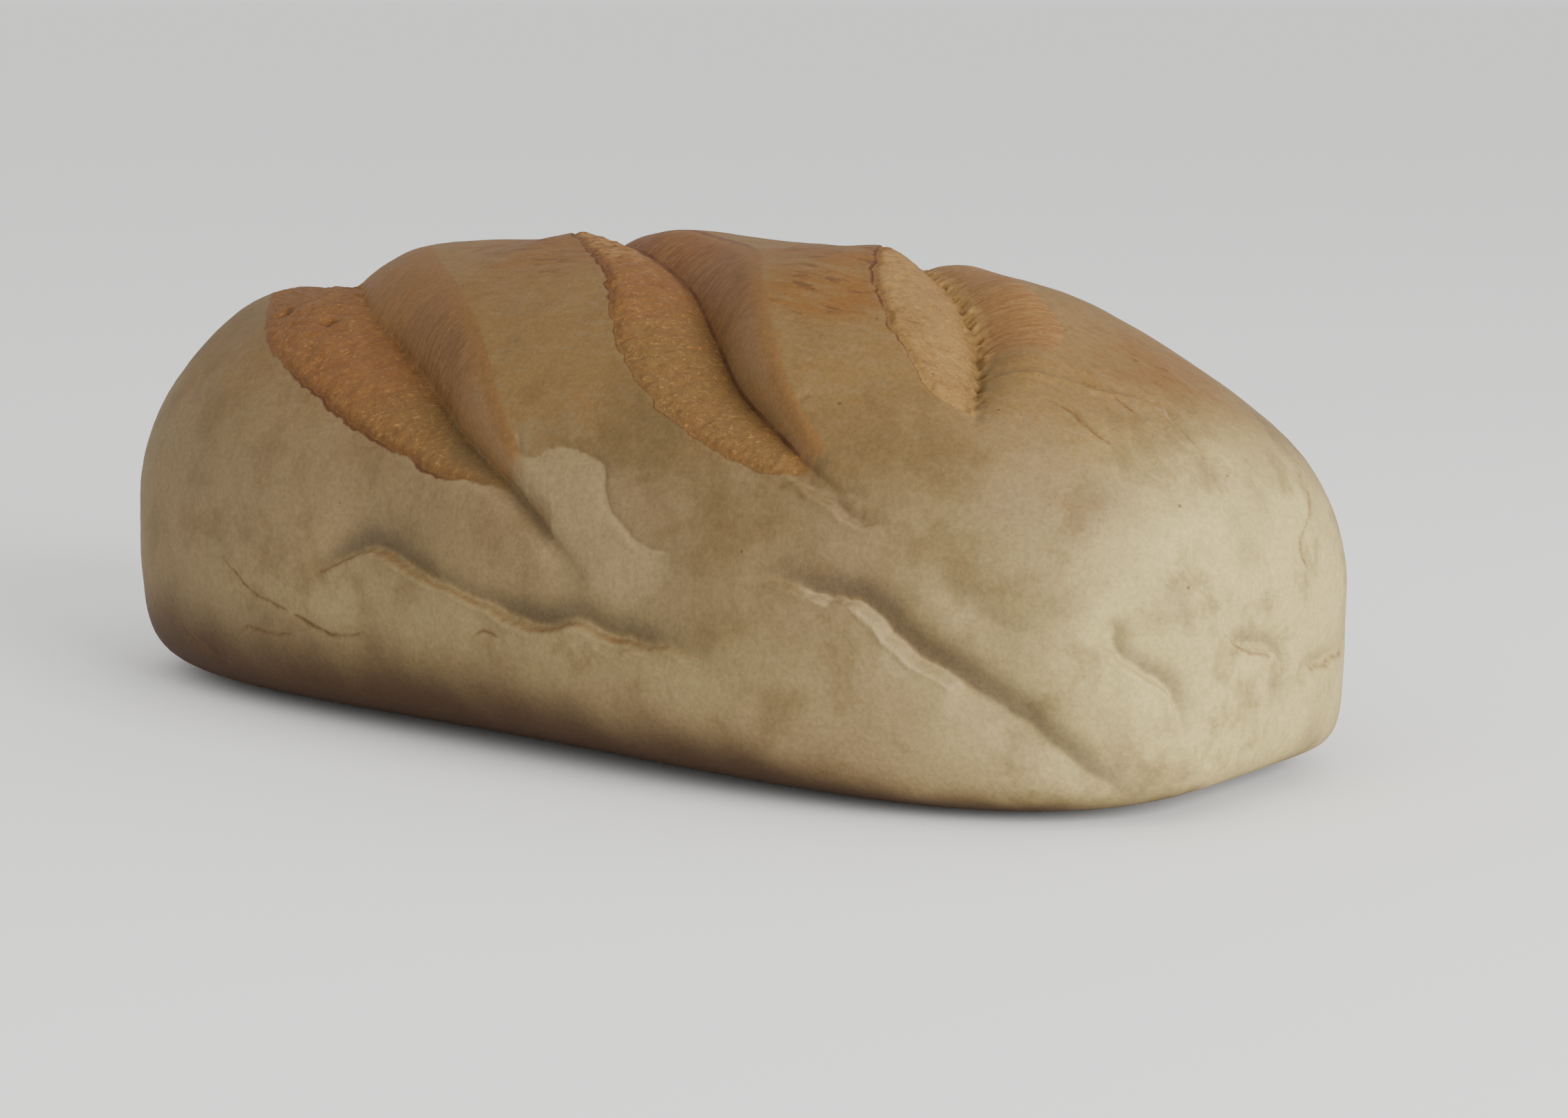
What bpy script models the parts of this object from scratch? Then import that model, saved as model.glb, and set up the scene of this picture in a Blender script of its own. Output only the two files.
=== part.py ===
"""A free-standing white loaf, shaped by hand and scored with three deep diagonal slashes.

The loaf is one closed mesh in metres, +Z up, standing on Z = 0 with its footprint centred on
the origin. +X runs along the loaf to its fuller end, and its front faces -Y.

A smooth body comes first: a rounded plan, a domed top and a flat base. Slashes, folds and
swellings are then raised from it or sunk into it along its normals. A place on the body is
given by its x and its turn: 0 degrees is the top, 90 the middle of the front, -90 the back.
"""

import bmesh
import bpy
import numpy as np

# The body: overall size, and how full its outlines are. An outline |a|^n + |b|^n = 1 is an
# ellipse for n = 2 and comes closer to a rectangle as n grows.
HALF_LENGTH = 0.15
HALF_WIDTH = 0.0751
HEIGHT = 0.1066
WAIST_HEIGHT = 0.0405
WAIST_DROP = 0.0025
SETTLING = 0.001
PLAN_FULLNESS = {"left": 3.2, "right": 2.52}
DOME_FULLNESS = {"left": 2.84, "right": 2.09}
UNDERSIDE_FULLNESS = 6.5
UPPER_SECTION_FULLNESS = 2.06
LOWER_SECTION_FULLNESS = {"middle": 4.11, "gain to ends": 2.64}
WIDTH_GAIN_TO_RIGHT = 0.081
DOME_GAIN_TO_RIGHT = 0.066
LEAN_TO_BACK = 0.0021

# The mesh: a box of quads drawn over the body
CELLS_ALONG, CELLS_ACROSS, CELLS_UP = 60, 26, 19
CAP_START = 0.79
CAP_FULLNESS = 2.7
TOP_FACE_TURN = 48.0
BASE_FACE_TURN = 133.0
FACE_TOLERANCE = 1e-6
SMALLEST_RING = 1e-9

# Slashes, from the back over the top to the front. Each station along the bottom of the cut:
# x, turn, width of the torn crumb on its left, width of the flank on its right, depth
SLASHES = (
    (
        (-0.132, -22, 0.01, 0.008, 0.0),
        (-0.117, -4, 0.017, 0.015, 0.0042),
        (-0.096, 14, 0.022, 0.018, 0.0045),
        (-0.073, 31, 0.024, 0.019, 0.0065),
        (-0.053, 42, 0.022, 0.018, 0.0085),
        (-0.034, 53, 0.018, 0.017, 0.009),
        (-0.016, 64, 0.01, 0.014, 0.0075),
        (0.002, 72, 0.005, 0.008, 0.0045),
        (0.02, 82, 0.004, 0.005, 0.002),
        (0.03, 88, 0.004, 0.005, 0.0),
    ),
    (
        (-0.072, -44, 0.008, 0.008, 0.0),
        (-0.05, -25, 0.01, 0.012, 0.0025),
        (-0.03, -4, 0.012, 0.01, 0.0039),
        (0.007, 15, 0.017, 0.015, 0.0065),
        (0.03, 31, 0.02, 0.013, 0.0095),
        (0.047, 44, 0.017, 0.011, 0.0095),
        (0.063, 53, 0.012, 0.007, 0.0065),
        (0.078, 61, 0.005, 0.005, 0.0015),
        (0.09, 66, 0.004, 0.004, 0.0),
    ),
    (
        (0.004, -56, 0.008, 0.008, 0.0),
        (0.028, -34, 0.01, 0.012, 0.003),
        (0.044, -14, 0.009, 0.013, 0.0049),
        (0.065, -1, 0.018, 0.013, 0.0063),
        (0.085, 11, 0.02, 0.015, 0.008),
        (0.094, 20, 0.018, 0.012, 0.0075),
        (0.1, 30, 0.013, 0.009, 0.0045),
        (0.106, 44, 0.006, 0.006, 0.0),
    ),
)
CRUMB_BULGE = 0.7

# Folds in the dough, drawn as grooves with a raised lip on one side. Each station: x, turn,
# width of the groove, depth, height of the lip
FOLDS = (
    (
        (-0.054, 96, 0.006, 0.0, 0.0),
        (-0.038, 88, 0.006, 0.003, 0.0005),
        (-0.0212, 90, 0.006, 0.0028, 0.0006),
        (0.0053, 98, 0.006, 0.0028, 0.0006),
        (0.0258, 97, 0.006, 0.0028, 0.0005),
        (0.0413, 99, 0.006, 0.0024, 0.0004),
        (0.062, 101, 0.006, 0.0, 0.0),
    ),
    (
        (0.070, 80, 0.006, 0.0, 0.0),
        (0.0915, 83, 0.006, 0.003, 0.0005),
        (0.1009, 91, 0.007, 0.0036, 0.0006),
        (0.1112, 101, 0.007, 0.0036, 0.0006),
        (0.1254, 116, 0.007, 0.003, 0.0004),
        (0.136, 135, 0.007, 0.0, 0.0),
    ),
)
LIP_OFFSET = 1.7

# Swellings and hollows: x, turn, how far each reaches along and round the loaf, height
SWELLINGS = (
    (-0.13, 8, 0.014, 0.03, 0.0045),
    (-0.081, -3, 0.022, 0.038, 0.0022),
    (-0.036, -2, 0.012, 0.03, 0.0014),
    (-0.012, -3, 0.014, 0.034, 0.0019),
    (0.046, -3, 0.012, 0.03, 0.0019),
    (0.078, -6, 0.014, 0.03, 0.0009),
    (0.108, 0, 0.018, 0.04, -0.0026),
)

# Heights between which the relief fades out towards the base
FADE_START, FADE_END = 0.003, 0.016

CRUST_COLOUR = (0.50, 0.36, 0.19, 1.0)
CRUST_ROUGHNESS = 0.7
SPLINE_STEPS = 12
BLOCK = 20000


def outline(part, fullness):
    """Half width of a rounded outline, as a share of its full half width."""
    return (1 - np.clip(np.abs(part), 0, 1) ** fullness) ** (1 / fullness)


def on_body(x, turn):
    """Points of the smooth body at each x and turn in degrees."""
    part = x / HALF_LENGTH
    left = part < 0
    plan = np.where(left, PLAN_FULLNESS["left"], PLAN_FULLNESS["right"])
    dome = np.where(left, DOME_FULLNESS["left"], DOME_FULLNESS["right"])
    waist = WAIST_HEIGHT - WAIST_DROP * part
    width = HALF_WIDTH * outline(part, plan) * (1 + WIDTH_GAIN_TO_RIGHT * part)
    above = (HEIGHT - waist) * outline(part, dome) * (1 + DOME_GAIN_TO_RIGHT * part)
    below = waist * outline(part, UNDERSIDE_FULLNESS)
    side, rise = np.sin(np.radians(turn)), np.cos(np.radians(turn))
    upper = rise > 0
    lower = LOWER_SECTION_FULLNESS["middle"] + LOWER_SECTION_FULLNESS["gain to ends"] * part**2
    fullness = np.where(upper, UPPER_SECTION_FULLNESS, lower)
    reach = (np.abs(side) ** fullness + np.abs(rise) ** fullness) ** (-1 / fullness)
    lean = np.where(upper, LEAN_TO_BACK * reach * rise, 0)
    y = lean - width * reach * side
    z = waist + np.where(upper, above, below) * reach * rise
    return np.stack([x + 0 * z, y, z], axis=-1)


def box_to_body(corners):
    """Where each point of a box from -1 to 1 comes to lie on the smooth body."""
    along, across, up = corners.T
    ring = np.maximum(np.abs(across), np.abs(up))
    across, up = across / np.maximum(ring, SMALLEST_RING), up / np.maximum(ring, SMALLEST_RING)
    cap = np.abs(along) > 1 - FACE_TOLERANCE
    cap_ring = ring * outline(CAP_START, CAP_FULLNESS)
    part = np.where(cap, np.sign(along) * outline(cap_ring, CAP_FULLNESS), along * CAP_START)
    side_turn = TOP_FACE_TURN + (BASE_FACE_TURN - TOP_FACE_TURN) * (1 - up) / 2
    turn = np.select(
        [up > 1 - FACE_TOLERANCE, up < -1 + FACE_TOLERANCE, across < 0],
        [-TOP_FACE_TURN * across, 180 + (180 - BASE_FACE_TURN) * across, side_turn],
        -side_turn,
    )
    return on_body(part * HALF_LENGTH, turn)


def smooth_rows(rows):
    """A Catmull-Rom spline through rows of numbers, every column alike."""
    rows = np.array(rows, float)
    padded = np.vstack([2 * rows[0] - rows[1], rows, 2 * rows[-1] - rows[-2]])
    t = np.linspace(0, 1, SPLINE_STEPS, endpoint=False)[:, None]
    spans = [
        b + (c - a) / 2 * t + (a - 2.5 * b + 2 * c - d / 2) * t**2 + (1.5 * (b - c) + (d - a) / 2) * t**3
        for a, b, c, d in zip(padded, padded[1:], padded[2:], padded[3:])
    ]
    return np.vstack([*spans, rows[-1:]])


def beside_line(points, normals, stations):
    """For each point, how far right of the line it lies, and the line's other columns there.

    Right is the side of +X where the line runs from the back to the front.
    """
    rows = smooth_rows(stations)
    line = on_body(rows[:, 0], rows[:, 1])
    step = np.gradient(line, axis=0)
    heading = step / np.linalg.norm(step, axis=1, keepdims=True)
    nearest = np.empty(len(points), int)
    for start in range(0, len(points), BLOCK):
        block = points[start : start + BLOCK]
        gaps = np.linalg.norm(block[:, None] - line[None], axis=2)
        nearest[start : start + BLOCK] = gaps.argmin(axis=1)
    offset = points - line[nearest]
    along = (offset * heading[nearest]).sum(axis=1)
    beside = offset - along[:, None] * heading[nearest]
    side = np.sign((beside * np.cross(normals, heading[nearest])).sum(axis=1))
    aside = side * np.linalg.norm(beside, axis=1)
    station = nearest + along / np.linalg.norm(step, axis=1)[nearest]
    columns = [np.interp(station, np.arange(len(rows)), column) for column in rows[:, 2:].T]
    return aside, columns


def slash_relief(points, normals, stations):
    """A cut that opened in the oven: torn crumb slopes to its bottom, a steep flank leaves it."""
    aside, (crumb_width, flank_width, depth) = beside_line(points, normals, stations)
    crumb = np.clip(-aside / crumb_width, 0, 1)
    flank = np.clip(aside / flank_width, 0, 1)
    left = (1 - crumb) * (1 - CRUMB_BULGE * crumb)
    return -depth * np.where(aside < 0, left, (1 - flank) ** 2)


def fold_relief(points, normals, stations):
    """A groove where the dough folded, with a low lip on its left, some widths away."""
    aside, (width, depth, lip) = beside_line(points, normals, stations)
    groove = np.exp(-((aside / width) ** 2))
    ridge = np.exp(-(((aside + LIP_OFFSET * width) / width) ** 2))
    return lip * ridge - depth * groove


def swelling_relief(points, x, turn, along, around, height):
    """A soft bump, or a hollow where the height is below zero."""
    offset = points - on_body(np.array(x), np.array(turn))
    gap = np.hypot(offset[:, 0] / along, np.linalg.norm(offset[:, 1:], axis=1) / around)
    return height * np.exp(-(gap**2))


def relief(points, normals):
    """How far each point of the smooth body is pushed out, fading to nothing at the base."""
    height = sum(swelling_relief(points, *swelling) for swelling in SWELLINGS)
    height += sum(fold_relief(points, normals, fold) for fold in FOLDS)
    height += sum(slash_relief(points, normals, slash) for slash in SLASHES)
    return height * np.clip((points[:, 2] - FADE_START) / (FADE_END - FADE_START), 0, 1)


def box_mesh():
    """A box from -1 to 1 whose faces are split into quads, more of them along than across."""
    mesh = bmesh.new()
    bmesh.ops.create_cube(mesh, size=2)
    for axis, cells in enumerate((CELLS_ALONG, CELLS_ACROSS, CELLS_UP)):
        edges = [e for e in mesh.edges if abs(e.verts[0].co[axis] - e.verts[1].co[axis]) > 1]
        bmesh.ops.subdivide_edges(mesh, edges=edges, cuts=cells - 1, use_grid_fill=True)
    return mesh


def move_vertices(mesh, points):
    for vertex, point in zip(mesh.verts, points):
        vertex.co = point


def make_base_flat(mesh):
    """Joins the faces that lie on the floor into one."""
    base = [face for face in mesh.faces if all(v.co.z <= 0 for v in face.verts)]
    bmesh.ops.dissolve_faces(mesh, faces=base, use_verts=True)


def loaf_mesh():
    mesh = box_mesh()
    points = box_to_body(np.array([v.co for v in mesh.verts]))
    move_vertices(mesh, points)
    mesh.normal_update()
    normals = np.array([v.normal for v in mesh.verts])
    points += normals * relief(points, normals)[:, None]
    points[:, 2] = np.maximum(points[:, 2] - SETTLING, 0)
    points[:, :2] -= (points[:, :2].min(axis=0) + points[:, :2].max(axis=0)) / 2
    move_vertices(mesh, points)
    make_base_flat(mesh)
    return mesh


def crust_material():
    """Baked wheat crust: pale golden and matt."""
    material = bpy.data.materials.new("baked crust")
    material.use_nodes = True
    shader = material.node_tree.nodes["Principled BSDF"]
    shader.inputs["Base Color"].default_value = CRUST_COLOUR
    shader.inputs["Roughness"].default_value = CRUST_ROUGHNESS
    shader.inputs["Metallic"].default_value = 0.0
    return material


def make_loaf():
    mesh = loaf_mesh()
    data = bpy.data.meshes.new("loaf")
    mesh.to_mesh(data)
    mesh.free()
    data.shade_smooth()
    data.materials.append(crust_material())
    loaf = bpy.data.objects.new("loaf", data)
    bpy.context.scene.collection.objects.link(loaf)
    return loaf


def main():
    for old in list(bpy.data.objects):
        bpy.data.objects.remove(old)
    make_loaf()


main()
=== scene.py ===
"""A hand-shaped white loaf with three deep diagonal slashes, laid out as a Blender add-on.

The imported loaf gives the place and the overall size. This script draws its skin again at finer
detail, with torn crumb in the slashes, ragged crust edges, creases, flakes and hairline cracks.

A place on the loaf is given by its x and its turn: 0 degrees is the top, 90 the middle of the
front, -90 the back. Lengths are in metres, and in the tables of lines and patches in mm. The
front faces -Y.
"""

import bmesh
import bpy
import numpy as np
from bpy.props import FloatProperty, FloatVectorProperty, PointerProperty
from bpy.types import Operator, Panel, PropertyGroup
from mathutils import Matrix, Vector, noise


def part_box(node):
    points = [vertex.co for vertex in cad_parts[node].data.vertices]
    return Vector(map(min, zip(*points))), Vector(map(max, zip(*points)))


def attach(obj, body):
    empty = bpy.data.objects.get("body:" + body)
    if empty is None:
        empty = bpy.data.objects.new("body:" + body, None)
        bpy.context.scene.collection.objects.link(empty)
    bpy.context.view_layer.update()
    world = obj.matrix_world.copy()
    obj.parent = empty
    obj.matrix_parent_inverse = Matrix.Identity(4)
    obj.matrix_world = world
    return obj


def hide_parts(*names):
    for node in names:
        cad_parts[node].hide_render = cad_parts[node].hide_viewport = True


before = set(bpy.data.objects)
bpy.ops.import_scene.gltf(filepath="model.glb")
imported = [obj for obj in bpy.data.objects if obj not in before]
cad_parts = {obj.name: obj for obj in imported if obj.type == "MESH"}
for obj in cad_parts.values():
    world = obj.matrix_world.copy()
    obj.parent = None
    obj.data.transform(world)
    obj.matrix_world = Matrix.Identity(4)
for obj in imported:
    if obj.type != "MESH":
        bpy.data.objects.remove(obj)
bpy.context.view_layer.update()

bl_info = {
    "name": "Bloomer loaf",
    "version": (1, 0, 0),
    "blender": (4, 5, 0),
    "location": "View3D > Sidebar > Bread",
    "description": "Models a slashed white loaf and the stage that it is shown on",
    "category": "Add Mesh",
}

CAD_LOW, CAD_HIGH = (np.array(corner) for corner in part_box("loaf"))
CAD_SIZE = CAD_HIGH - CAD_LOW
MM = 0.001

# Units of each table's columns: lengths are given in mm, turns in degrees, strengths from 0 to 1
SLASH_UNITS = (MM, 1, MM, MM, MM, 1)
CREASE_UNITS = (MM, 1, MM, MM, MM, MM)
CRACK_UNITS = (MM, 1, MM, MM)
SWELLING_UNITS = (MM, 1, MM, MM, MM)
PATCH_UNITS = (MM, 1, MM, MM, 1)

# The body: overall size, and how full its outlines are. An outline |a|^n + |b|^n = 1 is an
# ellipse for n = 2 and comes closer to a rectangle as n grows.
HALF_LENGTH = 0.15
HALF_WIDTH = 0.0751
HEIGHT = 0.1066
WAIST_HEIGHT = 0.0405
WAIST_DROP = 0.0025
PLAN_FULLNESS = {"left": 3.2, "right": 2.52}
DOME_FULLNESS = {"left": 2.84, "right": 2.09}
UNDERSIDE_FULLNESS = 6.5
UPPER_SECTION_FULLNESS = 2.06
LOWER_SECTION_FULLNESS = {"middle": 4.11, "gain to ends": 2.64}
WIDTH_GAIN_TO_RIGHT = 0.081
DOME_GAIN_TO_RIGHT = 0.066
LEAN_TO_BACK = 0.0021
SETTLING = 0.001

# The mesh: a box of quads drawn over the body, its faces split again where there is detail
CELLS_ALONG, CELLS_ACROSS, CELLS_UP = 140, 60, 43
CAP_START = 0.79
CAP_FULLNESS = 2.7
TOP_FACE_TURN = 48.0
BASE_FACE_TURN = 133.0
FACE_TOLERANCE = 1e-6
SMALLEST_RING = 1e-9

# Slashes, from the back over the top to the front. Each station along the bottom of the cut:
# x, turn, width of the torn crumb on its left, width of the flank on its right, depth, and how
# dark the crust's edge is beside the crumb
SLASHES = (
    (
        (-132, -22, 10, 8, 0, 0), (-117, -4, 17, 15, 4.2, 0), (-96, 14, 22, 18, 4.5, 0.1),
        (-73, 31, 24, 19, 6.5, 0.45), (-53, 42, 22, 18, 8.5, 0.85), (-34, 53, 18, 17, 9, 1),
        (-16, 64, 10, 14, 7.5, 0.9), (2, 72, 5, 8, 4.5, 0.4), (20, 82, 4, 5, 2, 0), (30, 88, 4, 5, 0, 0),
    ),
    (
        (-72, -44, 8, 8, 0, 0.3), (-50, -25, 10, 12, 2.5, 0.7), (-30, -4, 12, 10, 3.9, 1),
        (7, 15, 17, 15, 6.5, 0.9), (30, 31, 20, 13, 9.5, 0.4), (47, 44, 17, 11, 9.5, 0.3),
        (63, 53, 12, 7, 6.5, 0.5), (78, 61, 5, 5, 1.5, 0.4), (90, 66, 4, 4, 0, 0),
    ),
    (
        (4, -56, 8, 8, 0, 0.3), (28, -34, 10, 12, 3, 0.6), (44, -14, 9, 13, 4.9, 0.9),
        (65, -1, 18, 13, 6.3, 1), (82.5, 12, 20, 17, 8, 0.9), (90.5, 21, 18, 15, 7.5, 0.7),
        (96.5, 31, 12, 11, 4.5, 0.4), (103, 43, 4, 6, 0, 0),
    ),
)
# How far the crumb stands proud of a straight slope, and from which depths and widths on the
# crumb is torn open and not only a crease
CRUMB_BULGE = 0.7
OPEN_DEPTH = 0.003
OPEN_WIDTHS = 0.003, 0.008
# The crust's torn edge: size of its lumps, how far the curled lip and the groove under it reach,
# and how much of both there is where the edge is pale
EDGE_LUMP, EDGE_OCTAVES = 5 * MM, 5
LIP_INSIDE, LIP_OUTSIDE = 0.4 * MM, 1.8 * MM
GROOVE_PLACE, GROOVE_WIDTH = 0.6 * MM, 0.5 * MM
PALE_EDGE = 0.3
# The fibres of the crumb, and the rags along the bottom of each slash: how far each is drawn out
# along the slash and across it, where it fades, and how high the rags are in each slash
FIBRE_OCTAVES = 4
TEAR_STRETCH = 2.0, 3.0
TEAR_AT_EDGE = 0.5 * MM, 2 * MM
TEAR_AT_VALLEY = 0, 1.5 * MM
RAG_STRETCH = 2.5, 3.0
RAG_WIDTH = 1.8 * MM
VALLEY_RAG = (0.0005, 0.0002, 0.0016)
# The shade in the narrow low end of a slash
LOW_END = 0.6
LOW_SHADE = 0.5
SHADE_DEPTHS = 0.5 * MM, 3 * MM
SHADE_WIDTH = 3 * MM
# Where a slash's marks fade out beside it, and how far finer mesh goes on past it
ZONE_FADE = -8 * MM, -4 * MM
SLASH_MARGIN = 0.004
LINE_END = 2 * MM

# Creases where one layer of dough lies on another. Each has how strongly its edge is stained, how
# much of it is in soft shade, how strongly it has peeled and over how many mm that fades. Its
# stations follow the edge of the upper layer: x, turn, soft width, depth, lip, and width of the
# paler peeled strip. The soft side is on the right of the line, and the lip and the strip are on
# its left.
CREASES = {
    "front fold": ((0.9, 1, 0, 0.4), (
        (-54, 97, 6, 0, 0, 0), (-49, 95, 6, 1.4, 0.2, 0), (-44, 92, 7, 2.4, 0.4, 0),
        (-38, 89, 8, 3.2, 0.22, 0), (-30, 88, 8, 3.2, 0.22, 0), (-21.2, 91, 8, 2.8, 0.22, 0),
        (-11, 94, 6, 2, 0.22, 0), (0, 97, 6, 2.2, 0.4, 0), (8.9, 101, 8, 3.2, 0.4, 0),
        (19, 101, 8, 3.2, 0.4, 0), (25.8, 98, 8, 2.8, 0.4, 0), (32, 100, 8, 2.8, 0.22, 0),
        (41.3, 101, 8, 2.6, 0.22, 0), (50.2, 101, 8, 1.6, 0.2, 0), (62, 102, 6, 0, 0, 0),
    )),
    "front fold branch": ((0.5, 0, 0, 0.2), (
        (29, 100, 3, 0, 0, 0), (34, 103, 3, 0.7, 0.3, 0), (39.3, 103, 3, 0.8, 0.4, 0),
        (47, 101, 3, 0, 0, 0),
    )),
    "right fold": ((0.2, 1.1, 0.85, 0.4), (
        (68, 81, 6, 0, 0, 0), (77.7, 82, 8, 1.8, 0.2, 0), (85.5, 84, 8, 2.8, 0.2, 1.4),
        (88.5, 84, 8, 3, 0.2, 0.4), (92.5, 84, 8, 3.4, 0.2, 1.6), (96.5, 87, 8, 3.8, 0.3, 2),
        (99, 90, 8, 3.8, 0.5, 1.4), (100.9, 92, 8, 3.8, 0.5, 4), (104.1, 96, 8, 3.8, 0.5, 4.6),
        (107.4, 99, 8, 3.8, 0.3, 0.6), (111.2, 102, 8, 3.8, 0.2, 1.6), (114, 105, 8, 3.6, 0, 0),
        (119.8, 111, 8, 3.4, 0, 0), (125.4, 117, 8, 3.2, 0, 0), (133, 130, 8, 2.6, 0, 0),
        (138, 140, 6, 0, 0, 0),
    )),
    "first slash runs on": ((0.1, 1, 0, 0.2), (
        (2, 72, 4, 0.6, 0, 0), (7.2, 75, 4, 0.6, 0.2, 0.6), (11.4, 78, 4, 0.6, 0.2, 0.6),
        (18, 81, 5, 0.6, 0.1, 0), (23, 85, 6, 1, 0, 0), (29, 89, 6, 0, 0, 0),
    )),
    "peeled patch": ((0.3, 0, 0.7, 10), (
        (3, 62, 1, 0, 0, 0), (4.6, 65, 1, 0.6, 0.1, 3), (7.1, 67, 1, 0.6, 0.1, 4),
        (10.6, 67, 1, 0.6, 0.1, 6), (14.2, 65, 1, 0.6, 0.1, 9), (21.8, 65, 1, 0.6, 0.1, 14),
        (29, 67, 1, 0.5, 0.1, 16), (32.8, 73, 1, 0.5, 0.1, 13), (39.9, 78, 1, 0.3, 0.2, 10),
        (46.3, 80, 1, 0.2, 0.1, 6), (54.3, 81, 1, 0, 0, 0),
    )),
    "second slash ends": ((0.5, 0.9, 0, 0.2), (
        (74, 62, 3, 0.8, 0, 0), (80.3, 65, 3, 1.4, 0.5, 0), (83.9, 66, 3, 1.6, 0.6, 0),
        (87.7, 68, 3, 1.6, 0.6, 0), (91.3, 69, 3, 1, 0.4, 0), (96, 67, 3, 0, 0, 0),
    )),
    "flake at its end": ((0, 0.3, 0.35, 0.4), (
        (70, 60, 3, 0, 0, 0), (75, 63, 3, 0.6, 0.3, 0.8), (81, 64, 3, 0.6, 0.3, 1),
        (86.5, 64, 3, 0.6, 0.3, 0.8), (91, 64, 3, 0, 0, 0),
    )),
    "ledge past the third slash": ((0.8, 1.6, 0.4, 0.2), (
        (94.2, 28, 4, 0, 0, 0), (99, 25, 4, 1.2, 0.4, 0), (104.5, 22, 4, 1.8, 0.6, 0),
        (109.5, 20, 4, 2, 0.6, 0), (114.2, 18, 4, 2, 0.6, 0), (118.5, 14, 3, 1.4, 0.4, 0),
        (122.7, 11, 1.6, 1.2, 0.3, 0), (125.5, 10, 1.6, 1, 0.3, 2.4), (127.9, 13, 1.6, 1, 0.3, 2),
        (133.3, 14, 1.6, 0.8, 0.2, 0), (139, 17, 1.6, 0, 0, 0),
    )),
    "right end crease": ((1.3, 1, 0.3, 0.5), (
        (147.2, 86, 5, 0, 0, 0), (148.4, 93, 5, 1.4, 0.4, 0), (149.2, 98, 5, 2.2, 0.6, 1),
        (149.7, 101, 5, 2.4, 0.6, 1.2), (149.9, 107, 5, 2.4, 0.6, 1), (149.97, 118, 5, 2, 0.5, 0),
        (149.99, 130, 5, 0, 0, 0),
    )),
    "right end crease behind": ((1.3, 0.8, 0, 0.2), (
        (149.99, 214, 4, 0, 0, 0), (149.94, 230, 4, 1.8, 0.5, 0), (149.7, 242, 4, 2, 0.5, 0),
        (149.2, 244, 4, 2.2, 0.5, 0), (148.1, 248, 4, 1.4, 0.4, 0), (146, 251, 4, 0, 0, 0),
    )),
    "right end hollow": ((0.1, 1.2, 0, 0.2), (
        (135, 81, 4, 0, 0, 0), (136.1, 86, 6, 2, 0, 0), (136.6, 93, 6, 2.2, 0.2, 0),
        (138.1, 97, 6, 2, 0.3, 0), (140.2, 101, 6, 2.2, 0.5, 0), (142.7, 107, 6, 2.2, 0.6, 0),
        (143.8, 114, 5, 1.6, 0.3, 0), (144.2, 124, 4, 0, 0, 0),
    )),
    "hollow over the right fold": ((0, 1.2, 0, 0.2), (
        (103, 75, 6, 0, 0, 0), (111.3, 80, 7, 1.2, 0, 0), (117.2, 86, 7, 1.3, 0, 0),
        (122.4, 88, 7, 1, 0, 0), (130, 88, 6, 0, 0, 0),
    )),
    "right end line": ((0.2, 1.1, 0, 0.2), (
        (141, 35, 3, 0, 0, 0), (142.1, 45, 3, 0.7, 0.3, 0), (142.8, 54, 3, 0.8, 0.3, 0),
        (145.2, 60, 3, 0.7, 0.2, 0), (145.6, 75, 3, 0, 0, 0),
    )),
}

# Hairline cracks in the skin, pits in the first slash's crumb and a small tear in the second's.
# Each station: x, turn, width, depth
CRACKS = (
    (
        (-60, 110, 0.3, 0), (-57.6, 111, 0.5, 0.6), (-51.9, 113, 0.6, 0.8), (-44.2, 114, 0.5, 0.6),
        (-33.8, 111, 0.3, 0),
    ),
    (
        (-88, 97, 0.3, 0), (-79.7, 103, 0.4, 0.3), (-73.8, 107, 0.4, 0.4), (-65.2, 109, 0.5, 0.4),
        (-60, 110, 0.3, 0),
    ),
    (
        (-83, 122, 0.3, 0), (-77.8, 117, 0.5, 0.4), (-71.8, 117, 0.6, 0.5), (-64.8, 117, 0.5, 0.4),
        (-57.5, 115, 0.3, 0),
    ),
    (
        (-107.7, 120, 0.4, 0), (-99.9, 125, 0.6, 0.4), (-91.2, 128, 0.6, 0.4), (-85.4, 128, 0.4, 0),
    ),
    (
        (-4.5, 110, 0.4, 0), (-1, 106, 0.5, 0.3), (3, 105, 0.6, 0.3), (8.5, 108, 0.4, 0),
    ),
    (
        (108.5, 29, 0.3, 0), (114.9, 29, 0.5, 0.5), (118.9, 31, 0.5, 0.5), (123.2, 32, 0.4, 0.4),
        (126.4, 33, 0.3, 0),
    ),
    (
        (116.2, 17, 0.3, 0), (120.7, 18, 0.5, 0.5), (124.1, 19, 0.3, 0),
    ),
    (
        (138, -24, 0.3, 0), (141.2, -28, 0.5, 0.5), (143.2, -27, 0.4, 0.3), (145.8, -21, 0.5, 0.5),
        (148, -12, 0.5, 0.5), (149.1, -22, 0.3, 0),
    ),
    (
        (-99, 32, 1.2, 0.2), (-97.4, 34, 1.8, 1.6), (-96, 36, 1.2, 0.2),
    ),
    (
        (-80.5, 39, 1.2, 0.2), (-79, 38, 1.8, 1.6), (-77.5, 37, 1.2, 0.2),
    ),
    (
        (67.4, 49, 0.3, 0), (68.6, 48, 0.6, 0.4), (71, 47, 0.3, 0),
    ),
)

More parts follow.
